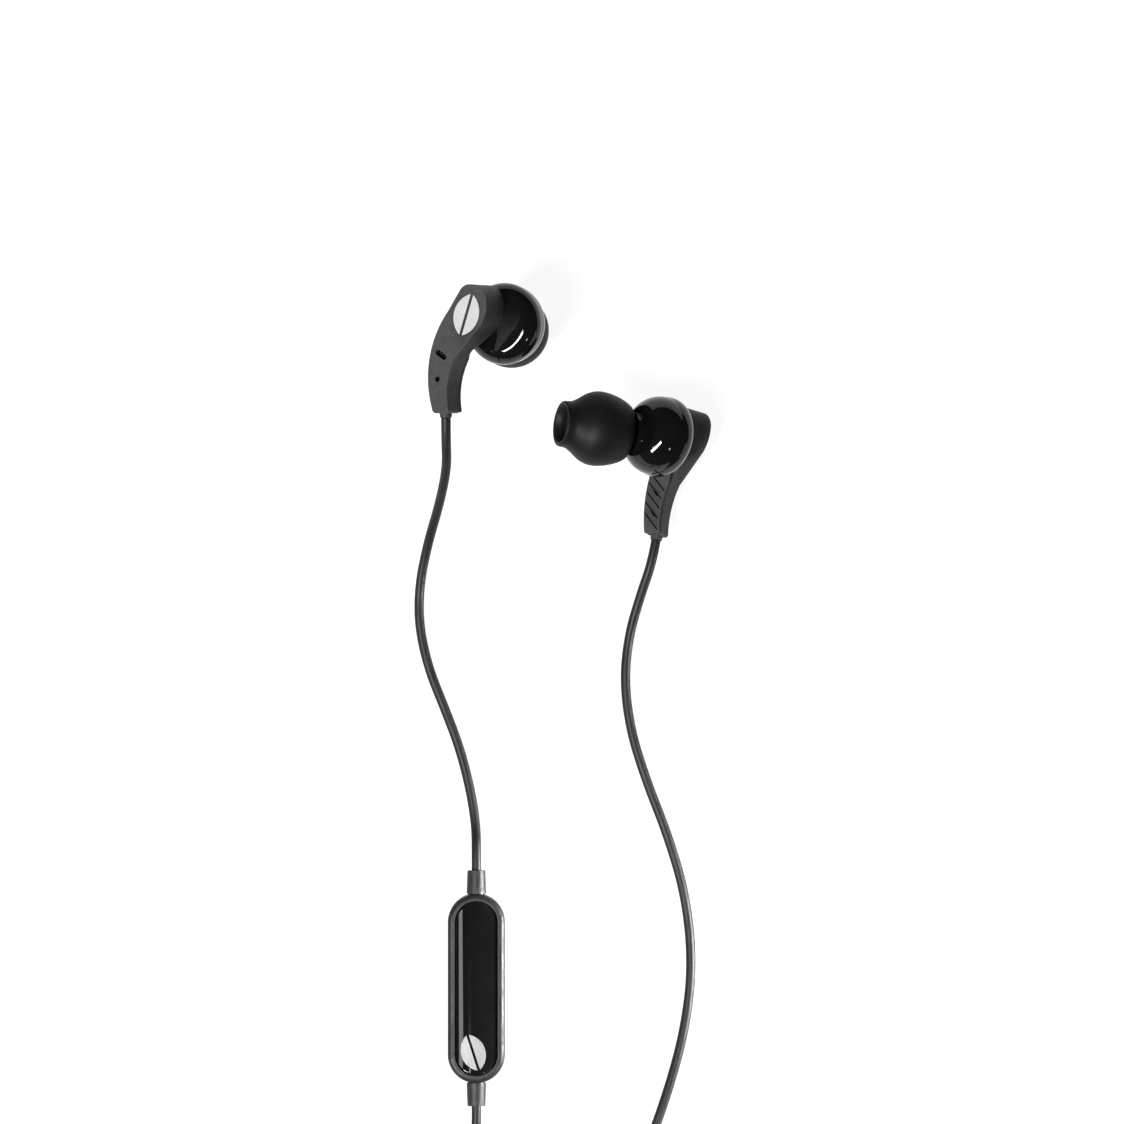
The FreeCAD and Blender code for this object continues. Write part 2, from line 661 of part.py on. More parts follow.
def remote_button():
    """Glossy pill-shaped press plate with a crowned face and a flange, sunk where the mark lies."""
    top = prism(stadium(BUTTON_WIDTH, BUTTON_LENGTH), BUTTON_FOOT, BUTTON_TOP).common(crown(0))
    top = rounded(top, 0.3, lambda edge: edge.BoundBox.ZMin > LIP_LOW)
    flange_face = stadium(BUTTON_WIDTH + FLANGE_EXTRA, BUTTON_LENGTH + FLANGE_EXTRA)
    flange = prism(flange_face, BUTTON_FOOT - 0.35, BUTTON_FOOT + 0.1)
    plate = top.fuse(flange).removeSplitter()
    pocket = remote_mark_place(emblem_shape(MARK_FIT, LIP_LOW, BUTTON_TOP + 1)).cut(crown(0.1))
    return plate.cut(pocket)


def remote_mark_place(shape):
    """Put a smaller copy of the mark near the lower end of the press plate."""
    matrix = Matrix()
    matrix.scale(REMOTE_MARK_SCALE, REMOTE_MARK_SCALE, 1)
    mark = shape.transformGeometry(matrix)
    mark.rotate(Vector(), Vector(0, 0, 1), MARK_TURN)
    mark.translate(vec(*REMOTE_MARK_PLACE))
    return mark


def remote_emblem():
    """Mark that follows the crowned face."""
    tall = remote_mark_place(leaf_mark(LIP_LOW, BUTTON_TOP + 1))
    halves = [half.common(crown(-0.05)).cut(crown(0.1)) for half in tall.Solids]
    return Part.makeCompound(halves)


def remote_board():
    return Part.makeBox(6.0, 24.0, BOARD_THICK, Vector(-3, -12, REMOTE_FLOOR))


def remote_switch():
    board_top = REMOTE_FLOOR + BOARD_THICK
    base = Part.makeBox(3.4, 3.4, 0.8, Vector(-1.7, -1.7, board_top))
    return base.fuse(disc(0.8, board_top + 0.8, board_top + 1.2)).removeSplitter()


def remote_microphone():
    board_top = REMOTE_FLOOR + BOARD_THICK
    return disc(1.3, board_top, board_top + 1.0, 0, 8.5)


def boot_cutter():
    """Bore through both end walls, with nothing between them."""
    length = REMOTE_LENGTH + 4
    bore = Part.makeCylinder(BOOT_STUB_R + PART_GAP, length, Vector(0, -length / 2, BOOT_Z), Vector(0, 1, 0))
    middle = Part.makeBox(FAR, REMOTE_LENGTH - 4, FAR, Vector(-FAR / 2, 2 - REMOTE_LENGTH / 2, -FAR / 2))
    return bore.cut(middle)


def remote_boot(way):
    """Round neck at one end: way is +1 for the top end and -1 for the bottom end."""
    inner = REMOTE_LENGTH / 2 - REMOTE_WALL + PART_GAP
    root = REMOTE_LENGTH / 2
    direction = Vector(0, way, 0)
    start = Vector(0, way * inner, BOOT_Z)
    stub = Part.makeCylinder(BOOT_STUB_R, root - inner + 0.2, start, direction)
    neck_start = Vector(0, way * (root + PART_GAP), BOOT_Z)
    neck = Part.makeCone(BOOT_ROOT_R, BOOT_TIP_R, BOOT_LENGTH, neck_start, direction)
    return stub.fuse(neck).removeSplitter()


def remote_pieces():
    return {
        "remote_back": remote_back(),
        "remote_shell": remote_shell(),
        "remote_button": remote_button(),
        "remote_emblem": remote_emblem(),
        "remote_board": remote_board(),
        "remote_switch": remote_switch(),
        "remote_microphone": remote_microphone(),
        "remote_upper_boot": remote_boot(1),
        "remote_lower_boot": remote_boot(-1),
    }


# ---- splitter and plug -----------------------------------------------------------------------------

def splitter():
    """Moulded joint of the two branches and the main lead, narrowing towards the main lead."""
    top, waist, foot = 2.7, 2.9, 1.5
    end = -SPLITTER_LENGTH
    outline = [
        line(vec(-top, 0), vec(top, 0)),
        arc(vec(top, 0), vec(waist, -5), vec(foot, end)),
        line(vec(foot, end), vec(-foot, end)),
        arc(vec(-foot, end), vec(-waist, -5), vec(-top, 0)),
    ]
    body = prism(Part.Face(Part.Wire(outline)), LIFT, LIFT + SPLITTER_HEIGHT)
    body = rounded(body, 0.9, lambda edge: edge.Length > SPLITTER_HEIGHT + 0.1)
    body.translate(vec(0, SPLITTER_Y, 0))
    return body


def plug_pieces():
    """Straight four-pole plug, drawn along +z from its bend relief to its tip, then laid along +y."""
    relief = Part.makeCone(PLUG_RELIEF_TIP_R, PLUG_RELIEF_ROOT_R, PLUG_RELIEF)
    handle_low = PLUG_RELIEF
    handle_high = PLUG_RELIEF + HANDLE_LENGTH
    handle = rounded(disc(HANDLE_R, handle_low, handle_high), 0.8, lambda edge: True)
    jack = handle_high
    pieces = {"plug_relief": relief, "plug_handle": handle}
    for name, low, high in BANDS:
        pieces[name] = disc(JACK_R, jack + low, jack + high)
    insulators = [disc(JACK_R, jack + high, jack + high + BAND_GAP) for _, _, high in BANDS]
    pieces["plug_insulators"] = Part.makeCompound(insulators)
    tip_low = jack + BANDS[-1][2] + BAND_GAP
    end = jack + JACK_LENGTH
    pieces["plug_tip"] = revolved([
        line(vec(0, 0, tip_low), vec(JACK_R, 0, tip_low)),
        line(vec(JACK_R, 0, tip_low), vec(1.25, 0, tip_low + 0.9)),
        arc(vec(1.25, 0, tip_low + 0.9), vec(1.6, 0, tip_low + 1.7), vec(1.2, 0, end - 0.4)),
        arc(vec(1.2, 0, end - 0.4), vec(0.95, 0, end - 0.1), vec(0.5, 0, end)),
        line(vec(0.5, 0, end), vec(0, 0, end)),
        line(vec(0, 0, end), vec(0, 0, tip_low)),
    ])
    for shape in pieces.values():
        shape.rotate(Vector(), Vector(1, 0, 0), -90)
        shape.translate(PLUG_START)
    return pieces


# ---- assembly ----------------------------------------------------------------------------------------

def all_pieces():
    """Every piece of the earphones in the table's frame, by node name."""
    pieces = {}
    for name, shape in earbud_pieces().items():
        twin = shape.mirror(Vector(), Vector(1, 0, 0))
        pieces["left_" + name] = shape.transformed(left_matrix(), copy=True)
        pieces["right_" + name] = twin.transformed(right_matrix(), copy=True)
    for name, shape in remote_pieces().items():
        shape.translate(REMOTE_CENTRE)
        pieces[name] = shape
    return pieces


def cord_pieces():
    """The cords and everything on them."""
    pieces = {
        "left_cord_upper": tube(LEFT_UPPER_ROUTE, BRANCH_R, "left upper"),
        "left_cord_lower": tube(LEFT_LOWER_ROUTE, BRANCH_R, "left lower"),
        "right_cord": tube(RIGHT_ROUTE, BRANCH_R, "right"),
        "splitter": splitter(),
        "main_cord": tube(MAIN_ROUTE, MAIN_R, "main"),
        "cord_coil": coil_solid(),
        "plug_cord": tube(PLUG_ROUTE, MAIN_R, "plug lead"),
    }
    pieces.update(plug_pieces())
    pieces["cord_tie"] = tie()
    return pieces


def main():
    os.makedirs("parts", exist_ok=True)
    body = all_pieces()
    for name, shape in body.items():
        save(shape, name)
    whole = Part.makeCompound(list(body.values())).optimalBoundingBox()
    print("without cords: x %.3f %.3f  y %.3f %.3f  z %.3f %.3f"
          % (whole.XMin, whole.XMax, whole.YMin, whole.YMax, whole.ZMin, whole.ZMax))
    for name, shape in cord_pieces().items():
        save(shape, name)


main()
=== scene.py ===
"""Looks of the wired earphones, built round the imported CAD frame. Metres, +Z up."""

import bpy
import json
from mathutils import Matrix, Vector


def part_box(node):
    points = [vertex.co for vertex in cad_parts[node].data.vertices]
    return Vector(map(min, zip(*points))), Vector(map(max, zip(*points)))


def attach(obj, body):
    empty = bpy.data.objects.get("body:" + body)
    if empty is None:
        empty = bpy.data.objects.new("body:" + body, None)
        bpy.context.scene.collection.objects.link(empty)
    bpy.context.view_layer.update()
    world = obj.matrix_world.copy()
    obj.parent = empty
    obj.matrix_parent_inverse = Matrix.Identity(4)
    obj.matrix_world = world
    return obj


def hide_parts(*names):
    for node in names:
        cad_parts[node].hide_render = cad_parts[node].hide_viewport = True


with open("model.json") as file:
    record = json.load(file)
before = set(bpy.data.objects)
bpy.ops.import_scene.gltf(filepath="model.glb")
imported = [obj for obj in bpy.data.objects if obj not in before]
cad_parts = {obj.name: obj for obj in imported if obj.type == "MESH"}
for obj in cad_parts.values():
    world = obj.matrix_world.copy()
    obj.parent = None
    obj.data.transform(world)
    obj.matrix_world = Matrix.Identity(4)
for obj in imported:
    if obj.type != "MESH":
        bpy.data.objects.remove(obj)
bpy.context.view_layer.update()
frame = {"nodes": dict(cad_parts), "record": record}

import json
import math

import bmesh
import bpy
from mathutils import Matrix, Vector

MM = 0.001
NODES = frame["nodes"]
SUBPARTS = frame["record"]["subparts"]
JOINTS = {joint["name"]: joint for joint in frame["record"]["behaviour"]["joints"]}
ROOT = "earphones"


# ---- reading the frame -------------------------------------------------------------------

def centre(node):
    low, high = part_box(node)
    return (Vector(low) + Vector(high)) / 2


def size(node):
    low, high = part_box(node)
    return Vector(high) - Vector(low)


# ---- camera ------------------------------------------------------------------------------

SENSOR_WIDTH_MM = 36.0
VIEW_WIDTH = 187.3 * MM
CAMERA_PLACE = (-1.15 * MM, 21.9 * MM, 1.5)


def make_camera():
    """Camera straight above the table, which sees VIEW_WIDTH of it."""
    data = bpy.data.cameras.new("camera")
    data.sensor_width = SENSOR_WIDTH_MM
    data.lens = SENSOR_WIDTH_MM * CAMERA_PLACE[2] / VIEW_WIDTH
    data.clip_start = 0.05
    data.clip_end = 20.0
    camera = bpy.data.objects.new("camera", data)
    camera.location = CAMERA_PLACE
    bpy.context.collection.objects.link(camera)
    bpy.context.scene.camera = camera


# ---- building blocks of the materials ----------------------------------------------------

NOISE_LOW = 0.3         # noise stays between these two nearly everywhere
NOISE_HIGH = 0.7
FLAT_POINTINESS = 0.5
CLOUD_SCALE = 180.0     # noise scales, per metre of the object
METAL_CLOUD_SCALE = 300.0
SMUDGE_SCALE = 420.0
WEAR_SCALE = 900.0


def grey(tone, blue=None):
    """A grey, or a slightly cold one with its own blue."""
    return (tone, tone, tone if blue is None else blue)


def new_material(name, color, roughness, metallic=0.0, specular=0.5):
    """Principled material and its shader."""
    material = bpy.data.materials.new(name)
    material.use_nodes = True
    shader = material.node_tree.nodes["Principled BSDF"]
    shader.inputs["Base Color"].default_value = (*color, 1.0)
    shader.inputs["Roughness"].default_value = roughness
    shader.inputs["Metallic"].default_value = metallic
    shader.inputs["Specular IOR Level"].default_value = specular
    return material, shader


def noise(tree, scale, detail=3.0, roughness=0.5):
    place = tree.nodes.new("ShaderNodeTexCoord")
    texture = tree.nodes.new("ShaderNodeTexNoise")
    texture.inputs["Scale"].default_value = scale
    texture.inputs["Detail"].default_value = detail
    texture.inputs["Roughness"].default_value = roughness
    tree.links.new(place.outputs["Object"], texture.inputs["Vector"])
    return texture.outputs["Fac"]


def map_range(tree, value, taken, given):
    """Map the range taken to the range given."""
    ramp = tree.nodes.new("ShaderNodeMapRange")
    ramp.inputs["From Min"].default_value = taken[0]
    ramp.inputs["From Max"].default_value = taken[1]
    ramp.inputs["To Min"].default_value = given[0]
    ramp.inputs["To Max"].default_value = given[1]
    tree.links.new(value, ramp.inputs["Value"])
    return ramp.outputs["Result"]


def stretch(tree, value, low, high):
    """Map noise to a range."""
    return map_range(tree, value, (NOISE_LOW, NOISE_HIGH), (low, high))


def multiply(tree, one, two):
    product = tree.nodes.new("ShaderNodeMath")
    product.operation = "MULTIPLY"
    tree.links.new(one, product.inputs[0])
    tree.links.new(two, product.inputs[1])
    return product.outputs["Value"]


def mix_color(tree, factor, color, base=None, base_color=(0.0, 0.0, 0.0)):
    """Mix a fixed colour over base, which is a link, or over base_color where there is none."""
    mix = tree.nodes.new("ShaderNodeMix")
    mix.data_type = "RGBA"
    mix.inputs["A"].default_value = (*base_color, 1.0)
    mix.inputs["B"].default_value = (*color, 1.0)
    if base is not None:
        tree.links.new(base, mix.inputs["A"])
    tree.links.new(factor, mix.inputs["Factor"])
    return mix.outputs["Result"]


def bump(tree, shader, height, strength, distance):
    node = tree.nodes.new("ShaderNodeBump")
    node.inputs["Strength"].default_value = strength
    node.inputs["Distance"].default_value = distance
    tree.links.new(height, node.inputs["Height"])
    tree.links.new(node.outputs["Normal"], shader.inputs["Normal"])


def worn_edge(tree):
    """0 on flats and up to 1 on sharp convex edges, broken up by noise."""
    geometry = tree.nodes.new("ShaderNodeNewGeometry")
    sharp = map_range(tree, geometry.outputs["Pointiness"],
                      (FLAT_POINTINESS + 0.02, FLAT_POINTINESS + 0.1), (0.0, 1.0))
    return multiply(tree, sharp, noise(tree, WEAR_SCALE))


def plastic(name, dark, light, rough, grain, grain_depth, specular=0.5, edge=None):
    """Moulded plastic or rubber: wandering tone, uneven gloss and a fine grain."""
    material, shader = new_material(name, dark, rough[0], specular=specular)
    tree = material.node_tree
    clouds = stretch(tree, noise(tree, CLOUD_SCALE, detail=4.0), 0.0, 1.0)
    tone = mix_color(tree, clouds, light, base_color=dark)
    if edge:
        tone = mix_color(tree, worn_edge(tree), edge, base=tone)
    tree.links.new(tone, shader.inputs["Base Color"])
    smudge = noise(tree, SMUDGE_SCALE, detail=5.0, roughness=0.6)
    tree.links.new(stretch(tree, smudge, *rough), shader.inputs["Roughness"])
    bump(tree, shader, noise(tree, grain, detail=2.0), strength=0.5, distance=grain_depth)
    return material


def metal(name, color, rough):
    """Metal: clouded tone, uneven gloss and a very fine grain."""
    grain = 2500.0
    material, shader = new_material(name, color, rough[0], metallic=1.0)
    tree = material.node_tree
    lighter = tuple(min(1.0, channel * 1.12) for channel in color)
    clouds = stretch(tree, noise(tree, METAL_CLOUD_SCALE), 0.0, 1.0)
    tree.links.new(mix_color(tree, clouds, lighter, base_color=color), shader.inputs["Base Color"])
    tree.links.new(stretch(tree, noise(tree, grain, detail=4.0), *rough), shader.inputs["Roughness"])
    bump(tree, shader, noise(tree, grain), strength=0.25, distance=0.004 * MM)
    return material


# ---- materials ---------------------------------------------------------------------------

def silicone():
    return plastic("silicone", grey(0.0035, 0.0037), grey(0.006, 0.0063), rough=(0.45, 0.55),
                   grain=5200.0, grain_depth=0.006 * MM, specular=0.1)


def gloss_black():
    return plastic("gloss_black", grey(0.0022, 0.0024), grey(0.0034, 0.0036), rough=(0.03, 0.055),
                   grain=700.0, grain_depth=0.0006 * MM, specular=0.3)


def matte_black():
    return plastic("matte_black", grey(0.022, 0.0225), grey(0.031, 0.0315), rough=(0.42, 0.54),
                   grain=4200.0, grain_depth=0.012 * MM, specular=0.1, edge=grey(0.05))


def grained_black():
    """Coarsely grained plastic that glitters where light grazes it."""
    return plastic("grained_black", grey(0.004, 0.0042), grey(0.010, 0.0103), rough=(0.36, 0.6),
                   grain=2300.0, grain_depth=0.1 * MM, specular=0.28, edge=grey(0.02))


def soft_black():
    return plastic("soft_black", grey(0.007, 0.0073), grey(0.012, 0.0123), rough=(0.42, 0.56),
                   grain=5000.0, grain_depth=0.01 * MM, specular=0.25)


def cord_rubber():
    return plastic("cord_rubber", grey(0.004, 0.0042), grey(0.008, 0.0083), rough=(0.40, 0.52),
                   grain=6000.0, grain_depth=0.006 * MM, specular=0.2)


def inner_plastic():
    return plastic("inner_plastic", grey(0.03), grey(0.045), rough=(0.4, 0.55),
                   grain=3000.0, grain_depth=0.01 * MM)


def film():
    return plastic("film", (0.42, 0.38, 0.30), (0.5, 0.46, 0.38), rough=(0.25, 0.35),
                   grain=2000.0, grain_depth=0.004 * MM)


def circuit_board():
    return plastic("circuit_board", (0.01, 0.07, 0.03), (0.015, 0.1, 0.04), rough=(0.3, 0.45),
                   grain=2500.0, grain_depth=0.01 * MM)


def emblem_silver(name="emblem_silver", tone=0.37):
    return metal(name, grey(tone, 1.02 * tone), rough=(0.55, 0.68))


def copper():
    return metal("copper", (0.72, 0.33, 0.16), rough=(0.25, 0.4))


def magnet_metal():
    return metal("magnet_metal", grey(0.45, 0.47), rough=(0.3, 0.45))


def steel():
    return metal("steel", grey(0.55, 0.57), rough=(0.25, 0.4))


def contact_metal():
    return metal("contact_metal", (0.83, 0.62, 0.30), rough=(0.12, 0.2))


def mesh_metal():
    """Woven acoustic mesh: two crossed waves as height and tone."""
    material, shader = new_material("mesh_metal", grey(0.05, 0.052), 0.4, metallic=1.0)
    tree = material.node_tree
    place = tree.nodes.new("ShaderNodeTexCoord")
    waves = []
    for axis in ("X", "Y"):
        wave = tree.nodes.new("ShaderNodeTexWave")
        wave.bands_direction = axis
        wave.inputs["Scale"].default_value = 900.0
        tree.links.new(place.outputs["Object"], wave.inputs["Vector"])
        waves.append(wave.outputs["Fac"])
    weave = multiply(tree, *waves)
    tree.links.new(mix_color(tree, weave, grey(0.02, 0.021), base_color=grey(0.002)),
                   shader.inputs["Base Color"])
    bump(tree, shader, weave, strength=0.8, distance=0.05 * MM)
    return material


MATERIALS = {make.__name__: make() for make in (
    silicone, gloss_black, matte_black, grained_black, soft_black, cord_rubber, emblem_silver, mesh_metal,
    inner_plastic, film, copper, magnet_metal, steel, circuit_board, contact_metal)}
SMOOTH_ANGLE = math.radians(32)


def paint_cad_nodes():
    """Give each CAD node the material of its slot. The remote's emblem gets a darker copy of the emblem
    silver: painted shade that offsets the key light falling straight on its flat face.
    """
    for part in SUBPARTS:
        mesh = NODES[part["node"]].data
        mesh.materials.clear()
        mesh.materials.append(MATERIALS[part["material_slot"]])
    # painted shade: the buds' emblem silver, darkened for the remote because the key light falls straight
    # on it
    NODES["remote_emblem"].data.materials[0] = emblem_silver("remote_emblem_shaded_silver", 0.21)


def smooth_cad_nodes():
    """Shade the CAD nodes smooth except across sharp edges."""
    for part in SUBPARTS:
        node = NODES[part["node"]]
        bpy.context.view_layer.objects.active = node
        node.select_set(True)
        bpy.ops.object.shade_smooth_by_angle(angle=SMOOTH_ANGLE)
        node.select_set(False)


# ---- cords -------------------------------------------------------------------------------
# Routes and the coil are in millimetres. They follow the CAD's own cords.

BRANCH_D = 1.6 * MM
MAIN_D = 2.0 * MM
BRANCH_Z = 0.85         # middle of a branch cord that lies on the table
LEAD_Z = 1.05           # middle of the main lead that lies on the table
BOOT_Z = 2.4            # middle of the remote's two necks
REMOTE_X = -15.4
PLUG_Z = 3.25

LEFT_UPPER_ROUTE = [
    (-20.21, 45.6, 22.15), (-20.2, 42.2, 21.5), (-20.1, 37.4, 17.3), (-21.4, 31.6, 10.4),
    (-23.4, 25.2, 4.4), (-24.9, 18.2, 1.2), (-25.0, 11.4, BRANCH_Z), (-23.4, 4.2, BRANCH_Z),
    (-20.8, -2.2, BRANCH_Z), (-18.2, -9.0, BRANCH_Z), (-16.4, -16.0, BRANCH_Z), (-15.5, -21.8, 1.1),
    (REMOTE_X, -25.8, BOOT_Z), (REMOTE_X, -29.4, BOOT_Z),
]
LEFT_LOWER_ROUTE = [
    (REMOTE_X, -68.6, BOOT_Z), (REMOTE_X, -72.2, BOOT_Z), (-15.6, -77.6, 1.1),
    (-16.6, -86.0, BRANCH_Z), (-19.6, -97.0, BRANCH_Z), (-18.6, -108.0, BRANCH_Z),
    (-13.6, -118.0, BRANCH_Z), (-11.6, -128.0, BRANCH_Z), (-9.6, -137.0, BRANCH_Z),
    (-5.0, -144.0, BRANCH_Z), (-1.6, -150.0, 1.2), (-1.3, -154.0, 1.6),
]
RIGHT_ROUTE = [
    (14.46, 25.54, 4.87), (13.8, 21.8, 5.1), (11.9, 16.4, 3.1), (10.0, 9.8, 1.1),
    (9.2, 2.4, BRANCH_Z), (10.2, -6.0, BRANCH_Z), (12.9, -14.6, BRANCH_Z), (16.4, -23.4, BRANCH_Z),
    (19.4, -33.4, BRANCH_Z), (20.6, -44.8, BRANCH_Z), (19.4, -55.6, BRANCH_Z),
    (16.6, -66.0, BRANCH_Z), (13.0, -76.0, BRANCH_Z), (10.6, -86.0, BRANCH_Z),
    (12.6, -97.0, BRANCH_Z), (17.6, -105.0, BRANCH_Z), (18.4, -115.0, BRANCH_Z),
    (13.2, -123.0, BRANCH_Z), (8.8, -131.0, BRANCH_Z), (7.2, -140.0, BRANCH_Z), (3.4, -147.0, 1.0),
    (1.4, -151.0, 1.4), (1.3, -154.0, 1.6),
]
MAIN_ROUTE = [
    (0.0, -168.0, 1.6), (-0.1, -172.0, 1.5), (-3.0, -176.4, 1.1), (-8.0, -180.0, LEAD_Z),
    (-12.2, -184.0, LEAD_Z), (-14.0, -188.6, LEAD_Z),
]
PLUG_ROUTE = [
    (6.0, -207.4, 4.1), (12.5, -206.4, 3.5), (17.6, -202.8, PLUG_Z), (19.9, -197.4, PLUG_Z),
    (20.0, -193.6, PLUG_Z),
]

COIL_CENTRE = centre("cord_coil") / MM
COIL_LAYER = MAIN_D / MM * math.sqrt(3) / 2
COIL_TURNS = [(14, 0), (12, 0), (10, 0), (8, 0), (9, 1), (8, 2), (9, 3), (10, 2), (11, 1), (13, 1),
              (12, 2), (11, 3), (13, 3), (14, 2)]      # radius and layer of each turn, in winding order
TURN_POINTS = 24
EASE_START = 0.6        # part of a turn after which it moves over to the next one's place


def coil_points():
    """Turns of the put-away lead: each turn keeps its place in the bundle, then eases to the next."""
    points = []
    count = TURN_POINTS * (len(COIL_TURNS) - 1) + TURN_POINTS // 4 + 1
    for step in range(count):
        turn, part = divmod(step / TURN_POINTS, 1.0)
        here = COIL_TURNS[int(turn)]
        then = COIL_TURNS[min(int(turn) + 1, len(COIL_TURNS) - 1)]
        ease = min(1.0, max(0.0, (part - EASE_START) / (1.0 - EASE_START)))
        ease = ease * ease * (3 - 2 * ease)
        radius = here[0] + (then[0] - here[0]) * ease
        layer = here[1] + (then[1] - here[1]) * ease
        angle = math.pi + 2 * math.pi * step / TURN_POINTS
        points.append((COIL_CENTRE.x + radius * math.cos(angle),
                       COIL_CENTRE.y + radius * math.sin(angle),
                       LEAD_Z + layer * COIL_LAYER))
    return points


def make_cord(name, points, diameter, *replaced):
    """A cord as one NURBS curve with a round section."""
    data = bpy.data.curves.new(name, "CURVE")
    data.dimensions = "3D"
    data.resolution_u = 12
    data.bevel_depth = diameter / 2
    data.bevel_resolution = 8
    data.use_fill_caps = True
    spline = data.splines.new("NURBS")
    spline.points.add(len(points) - 1)
    for point, place in zip(spline.points, points):
        point.co = (place[0] * MM, place[1] * MM, place[2] * MM, 1.0)
    spline.order_u = 3
    spline.use_endpoint_u = True
    data.materials.append(MATERIALS["cord_rubber"])
    cord = bpy.data.objects.new(name, data)
    bpy.context.collection.objects.link(cord)
    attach(cord, ROOT)
    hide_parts(*replaced)
    return cord


def make_cords():
    left_upper = make_cord("left_branch_upper", LEFT_UPPER_ROUTE, BRANCH_D, "left_cord_upper")
    left_lower = make_cord("left_branch_lower", LEFT_LOWER_ROUTE, BRANCH_D, "left_cord_lower")
    right = make_cord("right_branch", RIGHT_ROUTE, BRANCH_D, "right_cord")
    lead = make_cord("main_lead", MAIN_ROUTE + coil_points() + PLUG_ROUTE, MAIN_D,
                     "main_cord", "cord_coil", "plug_cord")


# ---- mesh tools --------------------------------------------------------------------------

def add_piece(name, mesh, body, material, replaced):
    """Add a mesh to a body, in place of a CAD node."""
    mesh.materials.append(MATERIALS[material])
    piece = bpy.data.objects.new(name, mesh)
    bpy.context.collection.objects.link(piece)
    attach(piece, body)
    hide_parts(replaced)


def smooth_through(corners, steps):
    """Catmull-Rom curve through (radius, z) corners."""
    line = []
    padded = [corners[0]] + list(corners) + [corners[-1]]
    for a, b, c, d in zip(padded, padded[1:], padded[2:], padded[3:]):
        for step in range(steps):
            t = step / steps
            line.append(tuple(
                0.5 * (2 * q + (r - p) * t + (2 * p - 5 * q + 4 * r - s) * t * t
                       + (3 * q - p - 3 * r + s) * t ** 3)
                for p, q, r, s in zip(a, b, c, d)))
    line.append(tuple(corners[-1]))
    return line


def skin(shape, rings, closed=False):
    """Faces between neighbouring rings of vertices."""
    pairs = list(zip(rings, rings[1:]))
    if closed:
        pairs.append((rings[-1], rings[0]))
    for one, two in pairs:
        for k in range(len(one)):
            following = (k + 1) % len(one)
            shape.faces.new((one[k], one[following], two[following], two[k]))


def smooth_mesh(name, shape):
    """Turn a bmesh into a smooth mesh with its faces outward."""
    bmesh.ops.recalc_face_normals(shape, faces=shape.faces)
    for face in shape.faces:
        face.smooth = True
    mesh = bpy.data.meshes.new(name)
    shape.to_mesh(mesh)
    shape.free()
    return mesh


def lathe(name, profile, place, segments=96, closed=False):
    """Turn a profile of (radius, z) in millimetres about z, and put it in place with a matrix."""
    shape = bmesh.new()
    turns = [2 * math.pi * k / segments for k in range(segments)]
    rings = []
    for radius, z in profile:
        rings.append([shape.verts.new((radius * MM * math.cos(turn), radius * MM * math.sin(turn), z * MM))
                      for turn in turns])
    skin(shape, rings, closed)
    bmesh.ops.transform(shape, matrix=place, verts=shape.verts)
    return smooth_mesh(name, shape)


def aligned(origin, along, up=Vector((0, 1, 0)), mirrored=False):
    """Matrix of a frame whose z is along and whose y leans towards up."""
    z = along.normalized()
    y = (up - z * up.dot(z)).normalized()
    x = y.cross(z)
    if mirrored:
        x = -x
    matrix = Matrix((x, y, z)).transposed().to_4x4()
    matrix.translation = origin
    return matrix


# ---- ear tips ----------------------------------------------------------------------------

NOZZLE_MESH_Z = 12.075  # middle of the nozzle's mesh above the nozzle's own origin, in millimetres
TIP_OUTSIDE = [(3.4, 15.88), (3.7, 15.82), (3.82, 15.5), (3.84, 15.0), (4.0, 14.3), (4.5, 13.35),
               (5.1, 12.5), (5.65, 11.65), (6.05, 10.6), (6.18, 9.5), (6.05, 8.2), (5.65, 6.6),
               (5.1, 5.3), (4.6, 4.5)]
TIP_INSIDE = [(4.4, 4.35), (4.15, 4.5), (4.6, 5.6), (5.2, 7.1), (5.55, 8.7), (5.5, 10.3), (5.05, 11.5),
              (4.3, 12.5), (3.6, 12.9), (3.45, 12.5), (3.45, 8.7), (3.45, 6.2), (3.3, 6.0), (2.8, 6.0),
              (2.66, 6.2), (2.66, 9.7), (2.66, 14.2), (2.75, 15.0), (3.1, 15.7)]


def nozzle_frame(side):
    """The nozzle's own frame, with z along the joint that the ear tip slides on."""
    along = Vector(JOINTS[side + "_tip_pull"]["axis"])
    origin = centre(side + "_nozzle_mesh") - along * NOZZLE_MESH_Z * MM
    return aligned(origin, along, mirrored=side == "right")


def make_ear_tip(side):
    """Silicone tip: rolled mouth, bulb that folds back, and the inner tube on the nozzle."""
    profile = smooth_through(TIP_OUTSIDE, 5) + smooth_through(TIP_INSIDE, 4)
    mesh = lathe(side + "_silicone_tip", profile, nozzle_frame(side), closed=True)
    add_piece(side + "_silicone_tip", mesh, side + "_tip", "silicone", side + "_ear_tip")


# ---- plug --------------------------------------------------------------------------------
# Profiles are in millimetres, from the cord's end of the bend relief towards the jack.

RELIEF_TIP_R = 1.5
RELIEF_RINGS = 6
RING_DEPTH = 0.22
GRIP_GROOVES = 3
GRIP_PITCH = 1.4
GRIP_DEPTH = 0.28
GRIP_FROM_JACK = 6.5    # first grip groove, back from the jack's end of the handle
HANDLE_MOUTH_R = 2.3
HANDLE_RIM_R = 2.85


def plug_frame():
    """Frame at the foot of the plug's bend relief, with z towards the jack's tip."""
    middle = centre("plug_relief")
    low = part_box("plug_relief")[0]
    return aligned(Vector((middle.x, low[1], middle.z)), Vector((0, 1, 0)), up=Vector((0, 0, 1)))


